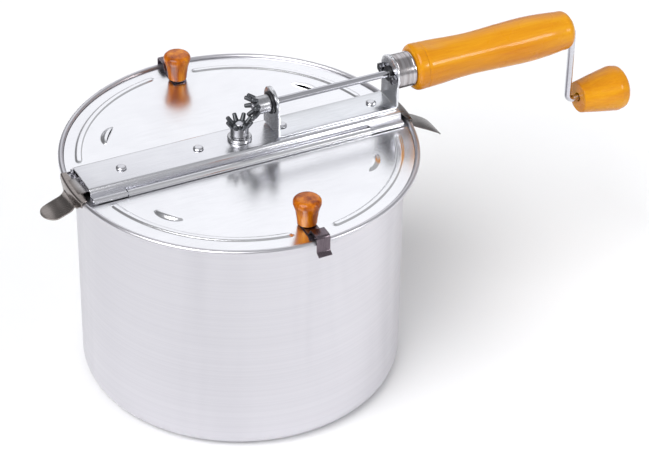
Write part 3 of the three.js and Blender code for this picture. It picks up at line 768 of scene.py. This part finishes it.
def buildBracket():
    half = bracket["sheet"] / 2
    front, rear = bracketLow.x + half, bracketHigh.x - half
    base = bracketLow.z + half
    line = [Vector((front, crankZ + bracket["frontEye"] - 0.02))]
    line += [Vector((front, crankZ + bracket["frontEye"] * math.cos(math.radians(a)))) for a in range(12,
            120, 12)]
    line += rounded([(front, crankZ - 8), (front, base, bracket["bend"]), (rear, base, bracket["bend"]),
            (rear, crankZ - 8)], 8)
    line += [Vector((rear, crankZ + bracket["rearEye"] * math.cos(math.radians(a)))) for a in range(114, 0,
            -8)]
    line += [Vector((rear, crankZ + bracket["rearEye"] - 0.02))]

    def halfWidth(point):
        eye = bracket["frontEye"] if point.x < (front + rear) / 2 else bracket["rearEye"]
        rise = point.y - crankZ
        chord = math.sqrt(max(eye * eye - rise * rise, 0.3))
        if rise >= 0:
            return chord
        blend = smoothStep(-8, -2, rise)
        return bracket["halfWidth"] * (1 - blend) + chord * blend

    mesh = stripMesh("bracket", line, [halfWidth(point) for point in line], bracket["sheet"], "x")
    for x, radius in ((front, 4.4), (rear, 4.0)):
        mesh = holed(mesh, drillMesh(radius, x - 3, x + 3, onCrankLine))
    return bevelled(mesh, 0.22, limit=50)


addPiece("bracket_strip", buildBracket(), "bracketSteel", "gear_bracket")


# Rivets: domed heads above, set tails below

rivetHead = {"radius": 3.5, "dome": 1.6, "shank": 1.5, "tail": 2.6}
rivetNodes = ("rivet_left_outer", "rivet_left_inner", "rivet_bracket_front", "rivet_bracket_rear")


def buildRivets():
    head, dome = rivetHead["radius"], rivetHead["dome"]
    upper = turnedMesh("head", rounded([(0, -2.2), (rivetHead["shank"], -2.2), (rivetHead["shank"], 0),
            (head, 0), (head, 0.55, 0.25), (head * 0.7, dome * 0.88, 1.6), (0, dome)], 6), sides=40)
    tail = turnedMesh("tail", rounded([(0, 0), (rivetHead["tail"], 0, 0.4), (rivetHead["tail"], 1.3, 0.3),
            (rivetHead["shank"], 1.3), (rivetHead["shank"], 4), (0, 4)], 5), sides=32)
    boxes = [boxOf(node) for node in rivetNodes]
    heads = [((low.x + high.x) / 2, 0, high.z - dome) for low, high in boxes]
    tails = [((low.x + high.x) / 2, 0, low.z) for low, high in boxes]
    return joined("rivets", [repeatedMesh(upper, heads), repeatedMesh(tail, tails)])


addPiece("rivets", buildRivets(), "fastenerSteel", *rivetNodes)


# Hinge rods, with slightly peened ends

hingeRod = {"radius": 1.5, "reach": 113}


def buildHingeRod(side):
    rod = rodMesh([(-hingeRod["reach"], side * hingeY, hingeZ), (hingeRod["reach"], side * hingeY, hingeZ)],
            hingeRod["radius"], sides=24)
    return bevelled(rod, 0.35, 3)


for name, side in (("front", -1), ("rear", 1)):
    addPiece(name + "_rod", buildHingeRod(side), "platedWire", name + "_hinge_rod")
print("bridge, bracket, rivets and hinge rods ready")


# Side latches: a leaf under the bridge, a saddle on the bead and a thumb tongue

latchStrip = {"sheet": 0.8, "leafHalf": 9, "leafTop": 174.6, "tongueHalf": 10, "saddleHalf": 19,
        "hem": 161.6}
latchTongues = {
    "left": {"rivet": 85, "place": halfTurn, "finish": "springSteel",
             "line": [(124, 160.2), (129, 158), (135, 156), (142, 156)]},
    # the right latch takes the darker copy of the spring steel, painted shade
    "right": {"rivet": 98, "place": inPlace, "finish": "shadedSpringSteel",
              "line": [(124, 160), (131, 155.6), (139.5, 151), (147, 146), (152, 140)]},
}


def buildSaddle():
    # L section over the bead, swept round the rim, its hem rising towards both ends
    sheet, top = latchStrip["sheet"], potHeight + 0.3
    inside = rimRadius + 0.4
    reach = math.degrees(latchStrip["saddleHalf"] / rimRadius)
    shape = bmesh.new()
    sections = []
    steps = 30
    for k in range(steps + 1):
        share = -1 + 2 * k / steps
        hem = latchStrip["hem"] + 5.2 * smoothStep(0.5, 1.0, abs(share))
        across = abs(share) * latchStrip["saddleHalf"]
        inner = potShell["mouth"] - 1.2 + 1.6 * smoothStep(latchStrip["leafHalf"], latchStrip["saddleHalf"],
                across)
        line = rounded([(inner, top + sheet / 2), (inside + sheet / 2, top + sheet / 2, 1.0),
                (inside + sheet / 2, hem)], 5)
        outline = offsetLine(line, sheet / 2) + offsetLine(line, -sheet / 2)[::-1]
        angle = math.radians(reach * share)
        sections.append([onCircle(shape, u, angle, v) for u, v in outline])
    loft(shape, sections)
    return bevelled(toMesh("saddle", shape), 0.12, limit=50)


def buildLatch(tongue):
    sheet = latchStrip["sheet"]
    leafZ = latchStrip["leafTop"] - sheet / 2
    saddleZ = potHeight + 0.3 + sheet / 2
    flatTo = tongue["rivet"] + 3.5
    leaf = rounded([(tongue["rivet"] - 10, leafZ), (flatTo, leafZ, 8), (bridgeHalf - 3, saddleZ + 0.6, 8),
            (rimRadius - 2, saddleZ + 0.05)], 8)
    root = (rimRadius + 0.7, 163.6)
    blade = spline([root, *tongue["line"]], 8)
    tip = tongue["line"][-1][0]
    half = latchStrip["tongueHalf"]

    def bladeHalf(point):
        past = max(point.x - (tip - half), 0)
        return math.sqrt(max(half * half - past * past, 0.36))
    parts = [bevelled(stripMesh("leaf", leaf, latchStrip["leafHalf"], sheet, "x"), 0.12), buildSaddle(),
            bevelled(stripMesh("blade", blade, [bladeHalf(point) for point in blade], sheet, "x"), 0.15,
            limit=50)]
    return joined("latch", parts, 45)


for side, tongue in latchTongues.items():
    mesh = buildLatch(tongue)
    mesh.transform(tongue["place"])
    addPiece(side + "_latch_spring", mesh, tongue["finish"], side + "_latch")
print("latches ready")


# Bushes and washer of the stirrer's shaft and the crank rod

bushes = {
    "shaft": {"bore": 3.1, "neck": 4.6, "flange": 8.2, "thickness": 2.2, "edge": 0.8},
    "front": {"bore": 2.5, "neck": 4.3, "flange": 7.8, "thickness": 1.4, "length": 4.7},
    "rear": {"bore": 2.5, "neck": 3.9, "flange": 5.4, "thickness": 1.7, "length": 3.2},
    "washer": {"bore": 3.1, "radius": 6.4},
}


def buildBushes():
    size = bushes["shaft"]
    low, high = boxOf("shaft_bush")
    seat = high.z - size["thickness"]
    line = rounded([(size["bore"], low.z), (size["neck"], low.z), (size["neck"], seat),
            (size["flange"], seat), (size["flange"], high.z, size["edge"]), (size["bore"], high.z)], 5,
            loop=True)
    addPiece("shaft_bush_turned", turnedMesh("bush", line, sides=64, loop=True), "hubSteel", "shaft_bush")
    size = bushes["washer"]
    low, high = boxOf("shaft_washer")
    line = rounded([(size["bore"], low.z), (size["radius"], low.z, 0.15), (size["radius"], high.z, 0.15),
            (size["bore"], high.z)], 4, loop=True)
    addPiece("washer", turnedMesh("washer", line, sides=64, loop=True), "fastenerSteel", "shaft_washer")
    for name, node, edge, lip in (("front", "front_crank_bush", 0.5, (0.3,)),
            ("rear", "rear_crank_bush", 0.4, ())):
        size = bushes[name]
        x = boxOf(node)[0].x
        step, end = x + size["thickness"], x + size["length"]
        line = rounded([(size["bore"], x), (size["flange"], x, edge), (size["flange"], step, 0.2),
                (size["neck"], step), (size["neck"], end, *lip), (size["bore"], end)], 5, loop=True)
        addPiece(name + "_bush", turnedMesh("bush", line, onCrankLine, 64, True), "blackBush", node)


buildBushes()


# Ferrule cup with a rolled lip, and the two hex screws that hold it

ferruleCup = {"from": 113.4, "to": 127, "radius": 12, "wall": 0.8, "boltY": 9}


def buildFerrule():
    start, end, radius, wall = (ferruleCup[key] for key in ("from", "to", "radius", "wall"))
    profile = rounded([(3.4, start), (radius, start, 1.1), (radius, end - 1.9, 0.5),
            (radius + 0.2, end - 1.5, 0.4), (radius + 0.2, end - 0.3, 0.4), (radius - wall, end, 0.2),
            (radius - wall, start + 1, 0.4), (3.4, start + 1)], 5, loop=True)
    addPiece("ferrule_cup", turnedMesh("ferrule", profile, onCrankLine, 96, True), "chromeCup", "ferrule")


def buildFerruleBolts():
    head = {"across": 3.6, "thickness": 3.1, "shank": 1.5, "length": 14.8}
    hexProfile = rounded([(0, 0), (head["across"], 0), (head["across"], head["thickness"]),
            (0, head["thickness"])], 3)
    hexHead = bevelled(turnedMesh("hex", hexProfile, sides=6), 0.3, 3)
    cup = turnedMesh("cup", rounded([(0, -0.35), (2.5, -0.35, 0.3), (2.8, 0.2), (0, 0.2)], 4), sides=32)
    shank = turnedMesh("shank", [(0, head["thickness"]), (head["shank"], head["thickness"]),
            (head["shank"], head["length"]), (0, head["length"])], sides=24)
    bolt = joined("bolt", [hexHead, cup, shank])
    bolt.transform(pointsX)
    start = boxOf("ferrule_bolt_front")[0].x
    seats = [(start, side * ferruleCup["boltY"], crankZ) for side in (-1, 1)]
    addPiece("ferrule_bolts", repeatedMesh(bolt, seats), "boltSteel", "ferrule_bolt_front",
            "ferrule_bolt_rear")


buildFerrule()
buildFerruleBolts()


# The wooden grip, bored for the crank rod, with a hollow for the thumb

grip = {"bore": 3.2, "spigot": 10.9, "shoulder": 127.3, "end": 252, "collar": 7,
        "swell": [(16.0, 137), (15.6, 147), (14.9, 158), (14.4, 172), (14.7, 184), (15.3, 198), (15.7, 212),
        (15.6, 221), (14.9, 233), (13.8, 243)]}
thumbHollow = {"x": 145, "halfLength": 13, "halfWidth": 9, "depth": 1.1}


def hollowed(point):
    # before it is laid down, the grip stands on +Z and its top faces -X
    if point.x > 0:
        return point
    along = (point.z - thumbHollow["x"]) / thumbHollow["halfLength"]
    across = point.y / thumbHollow["halfWidth"]
    depth = thumbHollow["depth"] * smoothStep(1, 0.1, math.hypot(along, across))
    return Vector((point.x + depth, point.y, point.z))


def buildGrip():
    start, end = grip["shoulder"], grip["end"]
    collar = rounded([(grip["bore"], ferruleCup["from"] + 1.3), (grip["spigot"], ferruleCup["from"] + 1.3),
            (grip["spigot"], start), (13.2, start, 0.6), (16.2, start + 1.4, 3.2),
            (16.2, start + grip["collar"], 0.9), (15.6, start + grip["collar"] + 0.9, 0.5),
            (16.0, start + grip["collar"] + 2.2)], 8)
    body = spline(grip["swell"], 12)
    cap = rounded([body[-1], (13.6, end - 3.2, 6), (9.4, end - 0.2, 3.4), (7.4, end, 0.8),
            (grip["bore"] + 0.8, end), (grip["bore"], end - 0.8), (grip["bore"], ferruleCup["from"] + 2)],
            8)
    mesh = turnedMesh("grip", collar + body + cap[1:], onCrankLine, 128, True, 50, hollowed)
    addPiece("wooden_grip", mesh, "paleWood", "handle")


buildGrip()
print("ferrule and grip ready")


# Crank: one bent rod, with a tapered wooden knob

crankRod = {"radius": 2.4, "start": 9, "armX": 255.5, "end": 297, "bend": 4.8}
crankKnob = {"mouth": 3.4, "bore": 2.7, "from": 264, "top": 301.5}


def buildCrank():
    path = [(crankRod["start"], 0, crankZ), (crankRod["armX"], 0, crankZ), (crankRod["armX"], 0, knobZ),
            (crankRod["end"], 0, knobZ)]
    rod = rodMesh(path, crankRod["radius"], crankRod["bend"], 40, 14)
    addPiece("crank_rod_bent", bevelled(rod, 0.4, 3, 60), "platedWire", "crank_rod")
    start, top = crankKnob["from"], crankKnob["top"]
    outside = rounded([(crankKnob["mouth"], start), (11.3, start, 0.9), (13.9, start + 13.5, 60),
            (16.4, top - 9, 8), (15.3, top - 3.2, 4.5), (11, top - 0.3, 4), (0, top)], 10)
    bore = [(0, crankRod["end"] + 1), (crankKnob["bore"], crankRod["end"] + 1),
            (crankKnob["bore"], start + 3)]
    lift = Matrix.Translation((0, 0, knobZ * mm)) @ pointsX
    mesh = turnedMesh("knob", outside + bore + [(crankKnob["mouth"], start)], lift, 96, sharpAt=50)
    addPiece("wooden_knob", mesh, "paleWood", "crank_knob")


buildCrank()
print("crank ready")


# Finger gears, their cross pins, and the stirrer

fingerGear = {"teeth": 8, "rootR": 5.4, "rootT": 11.6, "tipR": 8.6, "tipT": 7.6, "tooth": 1.42, "hub": 6.1,
        "hubFrom": 10.8, "driveTo": 21, "drivenTo": 18.9}


def buildGear(hubTo, bore, turn):
    radius, top = fingerGear["hub"], -fingerGear["hubFrom"]
    seam = top - 1.1
    hub = rounded([(bore, -hubTo), (radius, -hubTo, 0.35), (radius, seam), (bore, seam)], 6, loop=True)
    ring = rounded([(bore, seam), (radius + 0.05, seam), (radius, top, 0.9), (bore + 1.2, top + 0.02, 0.5),
            (bore, top - 0.8)], 6, loop=True)
    lean = Vector((fingerGear["tipR"] - fingerGear["rootR"], fingerGear["rootT"] - fingerGear["tipT"]))
    values = {"Teeth": fingerGear["teeth"], "Length": (lean.length - 0.35) * mm,
            "Lean": math.atan2(lean.x, lean.y), "Root": Vector((fingerGear["rootR"], 0,
            -fingerGear["rootT"])) * mm, "Thickness": fingerGear["tooth"] * mm, "Turn": turn}
    face = grown(turnedMesh("face", ring, sides=64, loop=True), fingerTree, values)
    return turnedMesh("hub", hub, sides=64, loop=True), face


def buildGears():
    apex = Matrix.Translation((0, 0, crankZ * mm))
    along = apex @ Matrix.Rotation(-math.pi / 2, 4, "Y")
    # the driven gear's hub takes the darker copy of the hub steel, painted shade
    gears = (("drive_gear", "hubSteel", along, fingerGear["driveTo"], crankRod["radius"] + 0.1,
            math.pi / fingerGear["teeth"]), ("driven_gear", "shadedHub", apex, fingerGear["drivenTo"], 3.1,
            0))
    for node, finish, place, hubTo, bore, turn in gears:
        hub, fingers = buildGear(hubTo, bore, turn)
        addPiece(node + "_hub", moved(hub, place), finish, node)
        addPiece(node + "_fingers", moved(fingers, place), "castGrey", node)
    for node, axis in (("drive_gear_pin", Vector((0, 0, 1))), ("driven_gear_pin", Vector((1, 0, 0)))):
        low, high = boxOf(node)
        middle = (low + high) / 2
        reach = (high - low) * axis / 2
        pin = bevelled(rodMesh([middle - reach, middle + reach], 1.0, sides=24), 0.2)
        addPiece(node + "_round", pin, "fastenerSteel", node)


stirWire = {"radius": 1.5, "bends": [(-1, -1), (-0.62, -0.72), (-0.28, -0.18), (-0.05, 0), (0.05, 0),
        (0.28, 0.18), (0.62, 0.72), (1, 1)]}


def buildStirrer():
    low, high = boxOf("stir_shaft")
    shaft = rounded([(0, low.z), (3, low.z, 0.6), (3, high.z, 0.7), (0, high.z)], 5)
    addPiece("shaft_turned", turnedMesh("shaft", shaft, sides=48), "platedWire", "stir_shaft")
    for node in ("stir_wire_long", "stir_wire_short"):
        low, high = boxOf(node)
        z = (low.z + high.z) / 2
        if node == "stir_wire_long":
            path = [(u * (high.x - 0.6), v * (high.y - 1.2), z) for u, v in spline(stirWire["bends"], 6)]
        else:
            path = [(-v * (high.x - 1.2), u * (high.y - 0.6), z) for u, v in spline(stirWire["bends"], 6)]
        wire = bevelled(rodMesh(path, stirWire["radius"], sides=20), 0.3, 2, 60)
        addPiece(node + "_bent", wire, "platedWire", node)


buildGears()
buildStirrer()
print("gears and stirrer ready")


# CAD nodes that keep their own shape

keptNodes = {"bearing_plate": "bridgeSteel", "shaft_bush_nut": "fastenerSteel",
        "front_lid_screw": "fastenerSteel", "rear_lid_screw": "fastenerSteel"}
for node, finish in keptNodes.items():
    kept = frame["nodes"][node]
    kept.data.materials.clear()
    kept.data.materials.append(material[finish])


# Stage: pale floor, soft light and the camera

floorHalf = 6.0


def buildFloor():
    shape = bmesh.new()
    bmesh.ops.create_grid(shape, x_segments=1, y_segments=1, size=floorHalf)
    floor = linked("floor", toMesh("floor", shape))
    floor.location.z = -0.0002
    paper, tree, shader, position = startMaterial("floorPaper")
    patch = useGroup(tree, handlingAndSheenGroup, {"Position": position, "Size": 3.0})
    tone = put(tree, "ShaderNodeMix", {"Factor": patch, "A": (0.93, 0.93, 0.935, 1),
            "B": (0.915, 0.915, 0.922, 1)}, data_type="RGBA")
    connect(tree, shader, {"Base Color": tone.outputs["Result"], "Roughness": 0.9,
            "Specular IOR Level": 0.2})
    floor.data.materials.append(paper)


def buildWorld():
    world = bpy.data.worlds.new("studio")
    bpy.context.scene.world = world
    world.use_nodes = True
    tree = world.node_tree
    tree.nodes.clear()
    way = put(tree, "ShaderNodeTexCoord").outputs["Generated"]
    side = put(tree, "ShaderNodeVectorMath", {0: way, 1: (0.85, -0.5, 0.15)}, operation="DOT_PRODUCT")
    room = put(tree, "ShaderNodeMapRange", {"Value": side.outputs["Value"], "From Min": -0.7,
            "From Max": 0.6, "To Min": 0.2, "To Max": 0.46}, interpolation_type="SMOOTHSTEP")
    # a broad bright panel behind and to the right, which the lids mirror
    aim = put(tree, "ShaderNodeVectorMath", {0: way, 1: (0.364, 0.731, 0.577)}, operation="DOT_PRODUCT")
    panel = put(tree, "ShaderNodeMapRange", {"Value": aim.outputs["Value"], "From Min": 0.84,
            "From Max": 0.965, "To Min": 0.0, "To Max": 0.74}, interpolation_type="SMOOTHSTEP")
    level = put(tree, "ShaderNodeMath", {0: room, 1: panel}, operation="ADD")
    sky = put(tree, "ShaderNodeBackground", {"Color": (0.965, 0.975, 1.0, 1), "Strength": level.outputs[0]})
    end = put(tree, "ShaderNodeOutputWorld")
    tree.links.new(sky.outputs[0], end.inputs["Surface"])


def buildSun(name, toward, spread, strength):
    lamp = bpy.data.lights.new(name, "SUN")
    lamp.angle = math.radians(spread)
    lamp.energy = strength
    light = linked(name, lamp)
    light.rotation_mode = "QUATERNION"
    light.rotation_quaternion = (-Vector(toward)).to_track_quat("-Z", "Y")


def buildStrip(name, at, aim, size, power):
    lamp = bpy.data.lights.new(name, "AREA")
    lamp.shape = "RECTANGLE"
    lamp.size, lamp.size_y = size
    lamp.energy = power
    light = linked(name, lamp)
    light.location = at
    light.rotation_mode = "QUATERNION"
    light.rotation_quaternion = (Vector(aim) - Vector(at)).to_track_quat("-Z", "Y")


cameraView = {"azimuth": -26.5, "elevation": 35.258, "roll": 0.963, "distance": 1748.61, "lens": 141.98,
        "sensor": 36, "aim": Vector((51.59, -25.72, 102.17))}


def buildCamera():
    azimuth, elevation = (math.radians(cameraView[key]) for key in ("azimuth", "elevation"))
    back = Vector((math.sin(azimuth) * math.cos(elevation), -math.cos(azimuth) * math.cos(elevation),
            math.sin(elevation)))
    level = (-back).to_track_quat("-Z", "Y").to_matrix()
    turned = level @ Matrix.Rotation(math.radians(cameraView["roll"]), 3, "Z")
    lens = bpy.data.cameras.new("camera")
    lens.lens = cameraView["lens"]
    lens.sensor_width = cameraView["sensor"]
    lens.clip_start, lens.clip_end = 0.05, 30
    camera = linked("camera", lens)
    place = Matrix.Translation((cameraView["aim"] + back * cameraView["distance"]) * mm)
    camera.matrix_world = place @ turned.to_4x4()
    bpy.context.scene.camera = camera


buildFloor()
buildWorld()
buildSun("key", (-0.6, -0.3, 0.74), 50, 2.8)
buildStrip("strip", (0.78, -0.95, 0.67), (0.2, 0, 0.2), (0.36, 0.24), 3.4)
buildCamera()
bpy.context.scene.view_settings.view_transform = "Standard"
print("stage ready")
